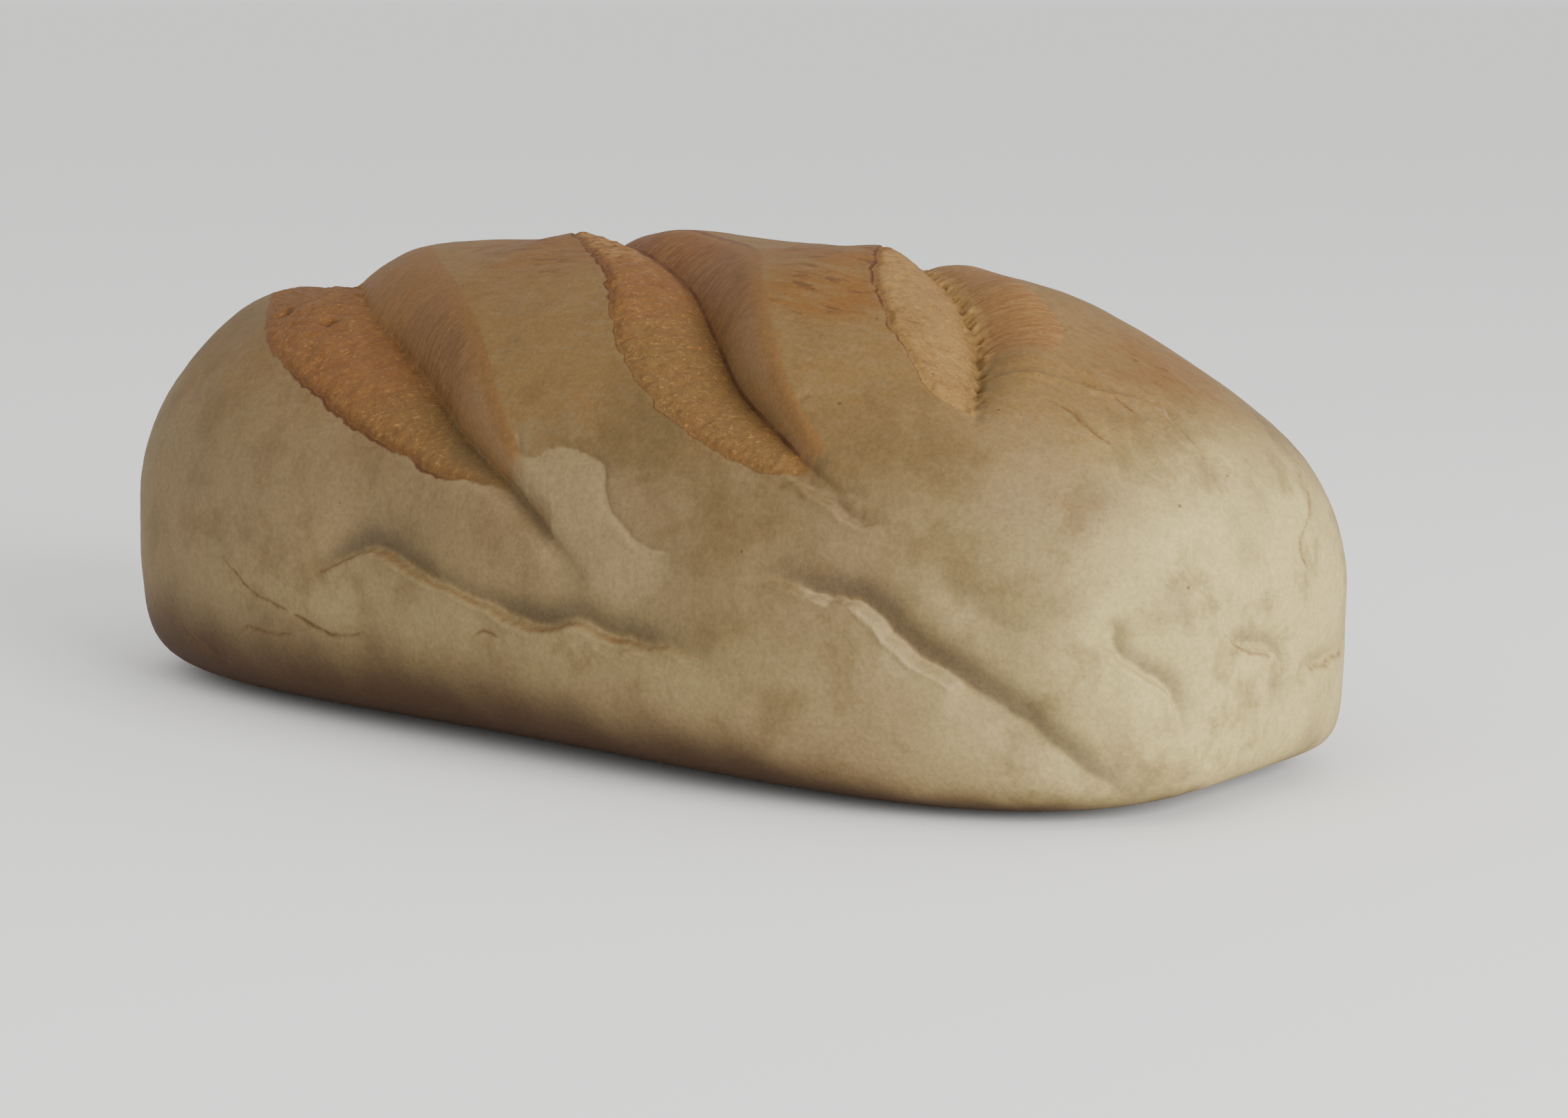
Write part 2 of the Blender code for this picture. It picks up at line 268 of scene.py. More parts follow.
# Swellings and hollows: x, turn, how far each reaches along and round the loaf, height
SWELLINGS = (
    (-130, 8, 14, 30, 4.5), (-81, -3, 22, 38, 2.2), (-36, -2, 12, 30, 1.4), (-12, -3, 14, 34, 1.9),
    (46, -3, 12, 30, 1.9), (78, -6, 14, 30, 0.9), (108, 0, 18, 40, -2.6), (117, 82, 9, 6, -0.8),
    (136, 84, 4, 6, -0.9), (142, 100, 3, 10, -0.9), (143, 55, 3, 12, -1), (137, 62, 4, 10, -1),
    (141, 72, 4, 8, 0.8), (146, 88, 6, 8, 0.8), (139, 106, 5, 8, 0.9), (132, 96, 7, 10, 0.8),
    (146, 118, 5, 10, 1), (101, 40, 8, 10, -0.8), (-101, 95, 16, 12, 0.6), (-124, 100, 10, 14, 0.7),
)

# Patches of colour on the crust, by mark: x, turn, reach along and round the loaf, strength
PATCHES = {
    # Toasted patches: browning along the top, darkened further as painted shade on the top
    "toast": (
        (-26, 10, 20, 26, 0.9), (-52, -4, 26, 26, 0.7), (44, 6, 24, 30, 0.8), (53, 24, 14, 8, 0.8),
        (20, -20, 40, 30, 0.7), (110, -8, 20, 30, 0.6), (-90, -22, 30, 20, 0.5),
    ),
    # Pale patches: partly floury skin, partly painted light where the right end faces the key light
    "pale": (
        (150, 88, 17, 55, 1), (134, 16, 16, 20, 0.1), (124, 88, 26, 36, 0.3), (138, 112, 24, 30, 0.35),
        (148, 10, 12, 26, 0.2), (20, 106, 100, 14, 0.2), (-60, 104, 36, 14, 0.05),
    ),
    # Olive patches: partly duller skin, partly painted shade in hollows, under the slashes and on the
    # left end
    "olive": (
        (28, 42, 14, 12, 0.4), (46, 62, 26, 14, 1), (72, 73, 28, 16, 0.7), (96, 56, 22, 16, 0.35),
        (98, 46, 16, 12, 0.5), (84, 50, 18, 12, 0.4), (124, 76, 22, 20, 0.35), (-122, 28, 30, 30, 0.6),
        (118, 68, 18, 16, 0.2), (2, 80, 22, 14, 0.5), (56, 97, 18, 8, 0.5),
    ),
}

# Heights between which the relief fades out towards the base
FADE_START, FADE_END = 0.003, 0.016
# How high the foot is browned and darkened with painted shade at each end, between which x this
# height falls, the share of it at which the dark is full, and how far its edge wanders
FOOT_HEIGHT = {"left": 0.036, "right": 0.010}
FOOT_SLOPE = (-0.03, 0.15)
FOOT_FULL = 0.1
FOOT_WANDER = 0.003
# Heights between which the skin turns golden and darker: partly browning, partly painted shade on the
# top
UPPER_START, UPPER_END = 0.052, 0.086

# Lines: steps between two stations, how far from a line the skin is looked at, and how many of
# its points are measured at a time
SPLINE_STEPS = 12
LINE_REACH = 0.032
BLOCK = 20000

# Noises: their seeds, how far apart the slashes lie in a noise that they share, how far the place
# that is read moves for each step of a seed, and how each octave falls off and gets finer
SEEDS = {
    "fibres": 5, "rags": 8, "creases": 21, "peel": 23,
    "cracks": 40, "swells": 60, "wrinkles": 61, "bake": 70,
}
SLASH_SHIFT = 0.1
SEED_SHIFT = (17.3, 5.1, 11.7)
OCTAVE_FALLOFF, OCTAVE_STEP = 1.0, 2.0

# A crease: how far its line strays and in lumps of which size, how wide its steep side is and
# how much wider without a lip, where its lip stands, and where it ends
CREASE_LUMP, CREASE_OCTAVES, CREASE_STRAYS = 6 * MM, 4, 0.6 * MM
STEEP_SIDE = 0.0007
SOFT_SIDE = 0.003
FULL_LIP = 0.2 * MM
RIDGE_PLACE, RIDGE_WIDTH = 1.9 * STEEP_SIDE, 1.4 * STEEP_SIDE
CREASE_END = 4 * MM
# Its shade: the depth at which it is full, and as shares of the crease's soft width where its
# middle lies and how far it reaches on each side
DEEP_FOLD = 0.0038
SHADE_PLACE, SHADE_TO_LEFT, SHADE_TO_RIGHT = 0.2, 0.16, 0.55
# Its stain: the depth at which it is full, how uneven it is, and where it lies
STAINED_DEPTH, STAIN_UNEVEN = 0.6 * MM, 0.5
STAIN_REACH, STAIN_PLACE, STAIN_WIDTH = 1.2 * MM, 0.5 * MM, 0.35 * MM
# The peeled strip beside it: how uneven, where it starts, and the widths at which it is full
PEEL_LUMP, PEEL_OCTAVES, PEEL_UNEVEN = 4 * MM, 3, 0.4
PEEL_STARTS = -0.5 * MM, -0.1 * MM
PEEL_FULL_MM, PEEL_FULL_SHARE = 0.8, 0.6

# A crack: how far it strays, the depth at which its colour is full, and the stain beside it
CRACK_LUMP, CRACK_OCTAVES, CRACK_STRAYS = 3 * MM, 3, 0.35 * MM
CRACK_END = 1 * MM
CRACK_FULL = 0.3 * MM
CRACK_DARK_SHARE = 0.7
CRACK_STAIN, CRACK_STAIN_WIDTH = 0.35, 1.6 * MM

# Lumps of the dough, and of the unevenness of its browning
SWELL_LUMP, SWELL_OCTAVES = 38 * MM, 2
WRINKLE_LUMP, WRINKLE_OCTAVES = 6 * MM, 3
BAKE_LUMP, BAKE_OCTAVES, BAKE_UNEVEN = 18 * MM, 3, 0.7
BROWNING_WANDER = 10 * MM

# Where the mesh is finer: near the edge and the valley of a slash, and on each side of a crease
# and of a crack
FINE_DEPTH = 0.0004
EDGE_BAND, VALLEY_BAND = 2 * MM, 1.2 * MM
CREASE_BAND = 6 * MM
LIP_BAND = -3 * MM, 1.5 * MM
CRACK_BAND = 1.6 * MM

# What the skin's points carry for the material: gaps and travel in metres, and the rest from 0
# to 1, or more than 1 in the darkest creases
MARKS = (
    "slash_zone", "crumb_gap", "valley_gap", "flank_gap", "slash_travel", "slash_share",
    "slash_number", "edge", "stain", "shade", "peel", "crack",
    "toast", "pale", "olive", "foot_brown_and_shade", "upper",
)

# Patterns drawn out along the loaf or along a slash: where they are read, scale on each axis
STRETCHES = {
    "combed": ("loaf", (0.25, 1, 1)),
    "fibres": ("slash", (1, 0.35, 1)),
    "brushed": ("slash", (1, 0.1, 1)),
}

# Noise patterns: where they are read, size of a lump in mm, detail, roughness
GRAINS = {
    "broad": ("loaf", 34, 3, 0.55),
    "blotches": ("loaf", 15, 4, 0.65),
    "mottle": ("loaf", 9, 4, 0.55),
    "small mottle": ("loaf", 3, 4, 0.6),
    "fine": ("loaf", 1.0, 4, 0.75),
    "freckles": ("loaf", 2.0, 3, 0.7),
    "streaks": ("combed", 4, 5, 0.6),
    "fine streaks": ("combed", 1.8, 4, 0.6),
    "frays": ("loaf", 1.6, 3, 0.55),
    "wide frays": ("loaf", 4, 3, 0.55),
    "fibres": ("fibres", 1.2, 5, 0.7),
    "crumb grain": ("loaf", 1.2, 4, 0.75),
    "crumb spots": ("loaf", 4, 4, 0.7),
    "hairs": ("fibres", 0.9, 3, 0.5),
    "flank streaks": ("brushed", 0.8, 5, 0.75),
}

# Gaps whose edge is frayed: name, gap, noise, how far the noise moves the edge
FRAYED_EDGES = (
    ("frayed crumb gap", "crumb_gap", "frays", 0.0010),
    ("frayed flank gap", "flank_gap", "wide frays", 0.0016),
    ("frayed valley gap", "valley_gap", "wide frays", 0.0016),
)
# Pores and the net of hairline cracks, and the noises that bend the net and the fibres
PORE_SPACING_MM = 7.0
PORE_DEPTH = -0.6
HAIRLINE_SPACING_MM = 11.0
HAIRLINE_BEND_MM = {"size": 6, "reach": 6}
HAIRLINE_DETAIL = 4
FIBRE_BEND_MM = {"size": 12, "reach": 3}
BUMP_DISTANCE_MM = 0.4
BUMP_STRENGTH = 0.7
CRUST_ROUGHNESS, CRUST_GLOSS = 0.68, 0.2
FLOOR_ROUGHNESS, FLOOR_GLOSS = 0.9, 0.1

# Shares: name, the parts whose product is read, where its smooth rise starts and ends, and the
# lowest and highest share where these aren't 0 and 1
SHARES = (
    ("streaky top", "fine streaks", 0.3, 0.65, 0.55, 1),
    ("mottled", "mottle", 0.35, 0.65, 0.6, 1),
    ("streaky", "streaks", 0.3, 0.62, 0.3, 1),
    ("scorched", "fine streaks", 0.5, 0.68),
    ("peel kept", "small mottle", 0.2, 0.5, 0.6, 1),
    ("broken", "small mottle", 0.35, 0.6, 0.25, 1),
    ("crazed", "blotches", 0.5, 0.62),
    ("hairline", "hairline distance", 0.022, 0.005),
    ("pore middle", "pore distance", 0.07, 0.035),
    ("chosen pore", "pore choice", 0.62, 0.66),
    ("pore", "pore middle * chosen pore", 0, 1),
    ("fine speckle", "fine", 0.3, 0.7, 0.94, 1.06),
    ("freckle", "freckles", 0.3, 0.7, 0.97, 1.03),
    ("speckle", "fine speckle * freckle", 0.7, 1.3, 0.7, 1.3),
    ("first slash", "slash_number", 0.45, 0.05),
    ("past first slash", "slash_number", 0.05, 0.45),
    ("before third slash", "slash_number", 0.95, 0.55),
    ("second slash", "past first slash * before third slash", 0, 1),
    ("third slash", "slash_number", 0.6, 1),
    ("up in slash", "slash_share", 0.66, 0.42),
    ("low in slash", "slash_share", 0.5, 0.72),
    ("end of slash", "slash_share", 0.62, 0.78),
    ("by valley", "valley_gap", -0.007, -0.001),
    ("close to valley", "valley_gap", -0.0035, -0.0008),
    ("fibrous", "second slash", 0, 1, 0.35, 1),
    ("close to edge", "frayed crumb gap", 0.0045, 0.0002),
    ("off valley", "valley_gap", 0.007, 0.001),
    ("torn valley", "off valley * third slash", 0, 1),
    ("in zone", "slash_zone", 0.1, 0.6),
    ("left of valley", "frayed valley gap", 0.0018, -0.0002),
    ("right of valley", "frayed valley gap", -0.0002, 0.0018),
    ("past edge", "frayed crumb gap", 0.0002, 0.0008),
    ("in crumb", "past edge * left of valley * in zone", 0, 1),
    ("before flank edge", "frayed flank gap", 0, 0.0014),
    ("above third end", "slash_share", 0.84, 0.78),
    ("on flank", "before flank edge * right of valley * in zone", 0, 1),
    ("rim starts", "frayed flank gap", -0.0006, 0.0006),
    ("rim ends", "frayed flank gap", 0.0028, 0.001),
    ("on rim line", "rim starts * rim ends * second slash", 0, 1),
    ("line starts", "frayed crumb gap", -0.0003, 0.0002),
    ("line ends", "frayed crumb gap", 0.0012, 0.0004),
    ("line shows", "mottle", 0.3, 0.6, 0.35, 1),
    ("well left of valley", "valley_gap", 0, -0.002),
    ("on line", "line starts * line ends * line shows * edge", 0, 1),
    ("valley starts", "valley_gap", -0.0007, -0.0001),
    ("valley ends", "valley_gap", 0.0008, 0.0002),
    ("on valley", "valley starts * valley ends * second slash", 0, 1),
)

# Surfaces: the colour underneath, and the colours or surfaces laid over it one after another, each
# with its share, given like those above. A product without limits is read as it is.
SURFACES = {
    "crumb surface": ("crumb", (
        ("crumb_deep", "crumb spots", 0.4, 0.62, 0, 0.8),
        ("crumb_low", "low in slash * mottled", 0, 1, 0, 0.9),
        ("crumb_golden", "third slash * mottled", 0, 1, 0, 0.75),
        ("crumb_light", "fibres * up in slash * fibrous", 0.42, 0.66, 0, 0.75),
        ("crumb_edge", "fibres", 0.5, 0.3, 0, 0.45),
        ("crumb_light", "crumb grain", 0.55, 0.68, 0, 0.5),
        ("crumb_light", "hairs", 0.63, 0.76, 0, 0.6),
        ("crumb_edge", "crumb grain", 0.42, 0.28, 0, 0.7),
        # Dark line down the valley of the second slash: painted shade in the bottom of the cut
        ("edge_line_and_shade", "close to valley * up in slash * second slash", 0, 0.8, 0, 0.75),
        # Painted shade in the hollow at the low end of the first slash
        ("crust_olive_and_shade", "by valley * end of slash * first slash", 0, 0.9, 0, 0.7),
        ("crumb_low", "by valley * third slash * fibres", 0.42, 0.56, 0, 0.6),
        ("crumb_edge", "close to edge * edge", 0, 1, 0, 0.6),
        ("crack", "crack * broken", 0, 1, 0, 0.65),
    )),
    "flank surface": ("flank", (
        ("flank_red", "second slash * up in slash", 0, 1, 0, 0.8),
        ("flank_rim", "first slash * up in slash", 0.2, 1, 0, 0.8),
        ("peeled", "end of slash * before third slash", 0, 1, 0, 0.3),
        ("flank_light", "flank streaks", 0.42, 0.62, 0, 0.8),
        ("flank_rim", "frayed flank gap * before third slash", 0.0055, 0.003, 0, 0.75),
        ("crumb", "third slash", 0, 1),
        ("crumb_golden", "flank streaks * third slash", 0.42, 0.6, 0, 0.6),
        ("crumb_golden", "torn valley * flank streaks", 0.38, 0.5, 0, 0.9),
    )),
    "skin": ("crust", (
        ("crust_rosy", "broad", 0.4, 0.62, 0, 0.9),
        ("crust_golden_and_shaded", "upper * streaky top", 0, 1, 0, 0.9),
        # Paler towards the right end: floury skin and painted light
        ("crust_pale_and_lit", "pale"),
        ("crust_olive_and_shade", "olive * mottled", 0, 1, 0, 0.85),
        ("crust_olive_and_shade", "blotches", 0.48, 0.7, 0, 0.5),
        ("crust_rosy", "small mottle", 0.4, 0.75, 0, 0.15),
        ("crust_toasted_and_shaded", "toast * streaky", 0, 0.9),
        ("crust_scorched", "toast * scorched", 0, 1, 0, 0.8),
        ("peeled", "peel * peel kept", 0, 1, 0, 0.8),
        # Painted shade in the creases and at the narrow low ends of the slashes
        ("shade", "shade", 0, 1, 0, 0.75),
        ("stain", "hairline * crazed * broken", 0, 1, 0, 0.28),
        # Dark foot: browned base crust and painted shade at the floor
        ("foot_brown_and_shade", "foot_brown_and_shade", 0, 1, 0, 0.95),
        ("stain", "stain * broken", 0, 1, 0, 0.6),
        ("crack", "crack * broken", 0, 1, 0, 0.65),
        ("crack", "pore", 0, 1, 0, 0.55),
        ("flank surface", "on flank * before third slash", 0, 1, 0, 0.95),
        ("flank surface", "on flank * above third end * third slash", 0, 1, 0, 0.95),
        ("edge_line_and_shade", "on rim line * up in slash * in zone", 0, 1, 0, 0.6),
        ("crumb surface", "in crumb"),
        # Dark lines down the valley and along the crust's edge: partly burnt edge, partly painted shade
        # under the edge and in the valley
        ("edge_line_and_shade", "on valley * in zone * line shows", 0, 1, 0, 0.8),
        ("edge_line_and_shade", "on line * well left of valley * in zone", 0, 1, 0, 0.85),
    )),
}

# The sockets that take a share's limits
RISE_INPUTS = ("From Min", "From Max", "To Min", "To Max")

# Bump of each surface: a pattern and its depth, and another, as shares of the bump's distance
BUMPS = {"crust": ("fine", 0.4, "small mottle", 0.25), "crumb": ("fibres", 0.6, "crumb grain", 1.6)}

CAMERA_PLACE = (0.4874, -0.5932, 0.1598)
CAMERA_AIM = (0.0195, 0.0031, 0.0358)
CAMERA_LENS_MM = 79.64
CAMERA_SENSOR_MM = 36.0
KEY_PLACE = (1.5, -0.28, 0.45)
KEY_WIDTH = 1.0
FLOOR_GAP = 0.0001


def linear(hex_colour):
    """A linear colour from an sRGB hex value."""
    shares = [int(hex_colour[i : i + 2], 16) / 255 for i in (1, 3, 5)]
    return [s / 12.92 if s <= 0.04045 else ((s + 0.055) / 1.055) ** 2.4 for s in shares]


def outline(part, fullness):
    """Half width of a rounded outline, as a share of its full half width."""
    return (1 - np.clip(np.abs(part), 0, 1) ** fullness) ** (1 / fullness)


def on_body(x, turn):
    """Points of the smooth body at each x and turn in degrees."""
    part = x / HALF_LENGTH
    left = part < 0
    plan = np.where(left, PLAN_FULLNESS["left"], PLAN_FULLNESS["right"])
    dome = np.where(left, DOME_FULLNESS["left"], DOME_FULLNESS["right"])
    waist = WAIST_HEIGHT - WAIST_DROP * part
    width = HALF_WIDTH * outline(part, plan) * (1 + WIDTH_GAIN_TO_RIGHT * part)
    above = (HEIGHT - waist) * outline(part, dome) * (1 + DOME_GAIN_TO_RIGHT * part)
    below = waist * outline(part, UNDERSIDE_FULLNESS)
    side, rise = np.sin(np.radians(turn)), np.cos(np.radians(turn))
    upper = rise > 0
    lower = LOWER_SECTION_FULLNESS["middle"] + LOWER_SECTION_FULLNESS["gain to ends"] * part**2
    fullness = np.where(upper, UPPER_SECTION_FULLNESS, lower)
    reach = (np.abs(side) ** fullness + np.abs(rise) ** fullness) ** (-1 / fullness)
    lean = np.where(upper, LEAN_TO_BACK * reach * rise, 0)
    y = lean - width * reach * side
    z = waist + np.where(upper, above, below) * reach * rise
    return np.stack([x + 0 * z, y, z], axis=-1)


def box_to_body(corners):
    """Where each point of a box from -1 to 1 comes to lie on the smooth body."""
    along, across, up = corners.T
    ring = np.maximum(np.abs(across), np.abs(up))
    ring_or_more = np.maximum(ring, SMALLEST_RING)
    across = across / ring_or_more
    up = up / ring_or_more
    cap = np.abs(along) > 1 - FACE_TOLERANCE
    cap_ring = ring * outline(CAP_START, CAP_FULLNESS)
    part = np.where(cap, np.sign(along) * outline(cap_ring, CAP_FULLNESS), along * CAP_START)
    side_turn = TOP_FACE_TURN + (BASE_FACE_TURN - TOP_FACE_TURN) * (1 - up) / 2
    turn = np.select(
        [up > 1 - FACE_TOLERANCE, up < -1 + FACE_TOLERANCE, across < 0],
        [-TOP_FACE_TURN * across, 180 + (180 - BASE_FACE_TURN) * across, side_turn],
        -side_turn,
    )
    return on_body(part * HALF_LENGTH, turn)


def smooth_rows(rows):
    """A Catmull-Rom spline through rows of numbers, every column alike."""
    padded = np.vstack([2 * rows[0] - rows[1], rows, 2 * rows[-1] - rows[-2]])
    t = np.linspace(0, 1, SPLINE_STEPS, endpoint=False)[:, None]
    spans = [
        b + (c - a) / 2 * t + (a - 2.5 * b + 2 * c - d / 2) * t**2 + (1.5 * (b - c) + (d - a) / 2) * t**3
        for a, b, c, d in zip(padded, padded[1:], padded[2:], padded[3:])
    ]
    return np.vstack([*spans, rows[-1:]])


class Beside:
    """Where the points near a line lie beside it.

    Right is the side of +X where the line runs from the back to the front. For each point near
    the line, aside is how far right of it the point lies, past how far past its ends, travel how
    far along it and share that as a share of it all, and columns are the line's other values at
    the nearest place along it.
    """

    def __init__(self, points, normals, stations, units):
        rows = smooth_rows(np.array(stations) * units)
        line = on_body(rows[:, 0], rows[:, 1])
        low, high = line.min(axis=0) - LINE_REACH, line.max(axis=0) + LINE_REACH
        self.here = np.flatnonzero(np.all((points > low) & (points < high), axis=1))
        points, normals = points[self.here], normals[self.here]
        step = np.gradient(line, axis=0)
        pace = np.linalg.norm(step, axis=1)
        heading = step / pace[:, None]
        nearest = np.empty(len(points), int)
        for start in range(0, len(points), BLOCK):
            block = points[start : start + BLOCK]
            gaps = np.linalg.norm(block[:, None] - line[None], axis=2)
            nearest[start : start + BLOCK] = gaps.argmin(axis=1)
        offset = points - line[nearest]
        along = (offset * heading[nearest]).sum(axis=1)
        beside = offset - along[:, None] * heading[nearest]
        side = np.sign((beside * np.cross(normals, heading[nearest])).sum(axis=1))
        self.aside = side * np.linalg.norm(beside, axis=1)
        station = nearest + along / pace[nearest]
        places = np.arange(len(rows))
        self.past = np.maximum(0, np.maximum(-station * pace[0], (station - places[-1]) * pace[-1]))
        self.travel = np.interp(station, places, np.cumsum(pace))
        self.share = self.travel / pace.sum()
        self.columns = [np.interp(station, places, column) for column in rows[:, 2:].T]


def ramp(value, start, end):
    """Rises smoothly from 0 at start to 1 at end."""
    share = np.clip((value - start) / (end - start), 0, 1)
    return share**2 * (3 - 2 * share)


def bell(value, width):
    """A soft hump that is 1 at 0 and near 0 past twice its width."""
    return np.exp(-((value / width) ** 2))


def lumps(points, size, seed, octaves):
    """Uneven noise from about -1 to 1, with lumps of the given size, the same each run."""
    shift = Vector([seed * part for part in SEED_SHIFT])
    return np.array(
        [noise.fractal(Vector(p) + shift, OCTAVE_FALLOFF, OCTAVE_STEP, octaves) for p in points / size]
    )


def in_row(*columns):
    """Columns of numbers as rows; a single number is the same in every row."""
    return np.stack([np.broadcast_to(c, columns[0].shape) for c in columns], axis=-1)


def patch(points, x, turn, along, around):
    """A soft patch: 1 at its middle, and near 0 past twice its reach along or round the loaf."""
    offset = points - on_body(np.array(x), np.array(turn))
    gap = np.hypot(offset[:, 0] / along, np.linalg.norm(offset[:, 1:], axis=1) / around)
    return np.exp(-(gap**2))


class Skin:
    """The loaf's surface at a set of points: its relief, and the marks that colour it."""

    def __init__(self, points, normals, sizes):
        self.points, self.normals, self.sizes = points, normals, sizes
        self.height = np.zeros(len(points))
        self.marks = {name: np.zeros(len(points)) for name in MARKS}

    def strengthen(self, name, here, values):
        """Where marks of several lines meet, the strongest shows."""
        self.marks[name][here] = np.maximum(self.marks[name][here], values)

    def cut_slashes(self):
        """Each slash: bulging torn crumb on its left, a hollow flank on its right, a ragged edge."""
        sizes = self.sizes
        self.marks["crumb_gap"][:] = self.marks["flank_gap"][:] = -LINE_REACH
        for number, stations in enumerate(SLASHES):
            line = Beside(self.points, self.normals, stations, SLASH_UNITS)
            aside, travel, (crumb, flank, depth, dark) = line.aside, line.travel, line.columns
            uneven = lumps(in_row(travel, 0.0, 0.0), EDGE_LUMP, number, EDGE_OCTAVES)
            ends = ramp(line.past, LINE_END, 0)
            opened = ramp(depth, 0, OPEN_DEPTH) * ramp(crumb, *OPEN_WIDTHS) * ends
            inside = (crumb + sizes.ragged_edge * uneven) * opened + aside
            over_crumb = np.clip(-aside / crumb, 0, 1)
            over_flank = np.clip(aside / flank, 0, 1)
            bulging = (1 - over_crumb) * (1 - CRUMB_BULGE * over_crumb)
            height = -depth * sizes.cut_scale * np.where(aside < 0, bulging, (1 - over_flank) ** 2)
            lip = np.where(inside < 0, bell(inside, LIP_OUTSIDE), bell(inside, LIP_INSIDE))
            groove = bell(inside - GROOVE_PLACE, GROOVE_WIDTH)
            torn_edge = opened * (aside < 0) * (PALE_EDGE + (1 - PALE_EDGE) * dark)
            height += torn_edge * (sizes.edge_lip * lip - sizes.edge_groove * groove)
            along, across = TEAR_STRETCH
            places = in_row(travel / along, -aside / across, number * SLASH_SHIFT)
            tear = lumps(places, MM, number + SEEDS["fibres"], FIBRE_OCTAVES)
            torn = opened * ramp(inside, *TEAR_AT_EDGE) * ramp(-aside, *TEAR_AT_VALLEY)
            along, across = RAG_STRETCH
            places = in_row(travel / along, aside / across, number * SLASH_SHIFT)
            rag = lumps(places, MM, number + SEEDS["rags"], FIBRE_OCTAVES)
            height += VALLEY_RAG[number] * rag * opened * bell(aside, RAG_WIDTH)
            self.height[line.here] += height + sizes.tear_height * tear * torn
            narrow = ramp(crumb, OPEN_WIDTHS[1], OPEN_WIDTHS[0]) * ends
            deep = ramp(depth, *SHADE_DEPTHS) * bell(aside, SHADE_WIDTH)
            self.strengthen("shade", line.here, LOW_SHADE * narrow * deep * (line.share > LOW_END))
            zone = opened * ramp(inside, *ZONE_FADE) * ramp(flank - aside, *ZONE_FADE)
            own = zone > self.marks["slash_zone"][line.here]
            for name, values in (
                ("slash_zone", zone),
                ("crumb_gap", inside),
                ("valley_gap", aside),
                ("flank_gap", flank - aside),
                ("slash_travel", travel),
                ("slash_share", line.share),
                ("slash_number", np.full(len(aside), number / (len(SLASHES) - 1))),
                ("edge", dark),
            ):
                self.marks[name][line.here[own]] = values[own]

    def fold_creases(self):
        """Each crease: a soft hollow that ends at the lip of the layer on top."""
        for (stained, shaded, peeling, peel_fade), stations in CREASES.values():
            line = Beside(self.points, self.normals, stations, CREASE_UNITS)
            width, depth, lip, peeled = line.columns
            travel = in_row(line.travel, 0.0, 0.0)
            wander = lumps(travel, CREASE_LUMP, SEEDS["creases"], CREASE_OCTAVES)
            aside = line.aside + CREASE_STRAYS * wander
            ends = ramp(line.past, LINE_END, 0)
            shown = ramp(depth, 0, STAINED_DEPTH) * ends * (1 + STAIN_UNEVEN * wander)
            side = STEEP_SIDE + SOFT_SIDE * ramp(lip, FULL_LIP, 0)
            hollow = np.where(aside > 0, bell(aside, width), bell(aside, side))
            ridge = bell(aside + RIDGE_PLACE, RIDGE_WIDTH)
            self.height[line.here] += (lip * ridge - depth * hollow) * ramp(line.past, CREASE_END, 0)
            soft = aside - SHADE_PLACE * width
            band = np.where(
                soft < 0, bell(soft, SHADE_TO_LEFT * width), bell(soft, SHADE_TO_RIGHT * width)
            )
            shade = np.clip(depth / DEEP_FOLD, 0, 1) * ends * band
            uneven = lumps(travel, PEEL_LUMP, SEEDS["peel"], PEEL_OCTAVES)
            reach = peeled * (1 + PEEL_UNEVEN * uneven)
            past_reach = ramp(-aside - reach, peel_fade * MM, PEEL_STARTS[1])
            peel = ramp(-aside, *PEEL_STARTS) * past_reach
            full = max(PEEL_FULL_MM, PEEL_FULL_SHARE * peel_fade) * MM
            stain = bell(aside + np.minimum(reach, STAIN_REACH) + STAIN_PLACE, STAIN_WIDTH)
            self.strengthen("stain", line.here, stained * shown * stain)
            self.strengthen("shade", line.here, shaded * shade)
            self.strengthen("peel", line.here, peeling * ramp(peeled, 0, full) * ends * peel)

    def open_cracks(self):
        """Each crack: a narrow dark furrow in a faint stain."""
        for number, stations in enumerate(CRACKS):
            line = Beside(self.points, self.normals, stations, CRACK_UNITS)
            width, depth = line.columns
            travel = in_row(line.travel, 0.0, 0.0)
            wander = lumps(travel, CRACK_LUMP, SEEDS["cracks"] + number, CRACK_OCTAVES)
            aside = line.aside + CRACK_STRAYS * wander
            ends = ramp(line.past, CRACK_END, 0)
            shown = ends * ramp(depth, 0, CRACK_FULL)
            self.height[line.here] -= depth * bell(aside, width) * ends
            self.strengthen("crack", line.here, shown * bell(aside, CRACK_DARK_SHARE * width))
            self.strengthen("stain", line.here, CRACK_STAIN * shown * bell(aside, CRACK_STAIN_WIDTH))

    def swell(self):
        """Where the dough rose between the slashes or sank beside a fold."""
        for x, turn, along, around, height in np.array(SWELLINGS) * SWELLING_UNITS:
            self.height += height * patch(self.points, x, turn, along, around)

    def roughen(self):
        """Uneven dough: broad hollows and swells, and a finely wrinkled skin over them."""
        swells = lumps(self.points, SWELL_LUMP, SEEDS["swells"], SWELL_OCTAVES)
        wrinkles = lumps(self.points, WRINKLE_LUMP, SEEDS["wrinkles"], WRINKLE_OCTAVES)
        self.height += self.sizes.unevenness * swells
        self.height += self.sizes.wrinkle * wrinkles

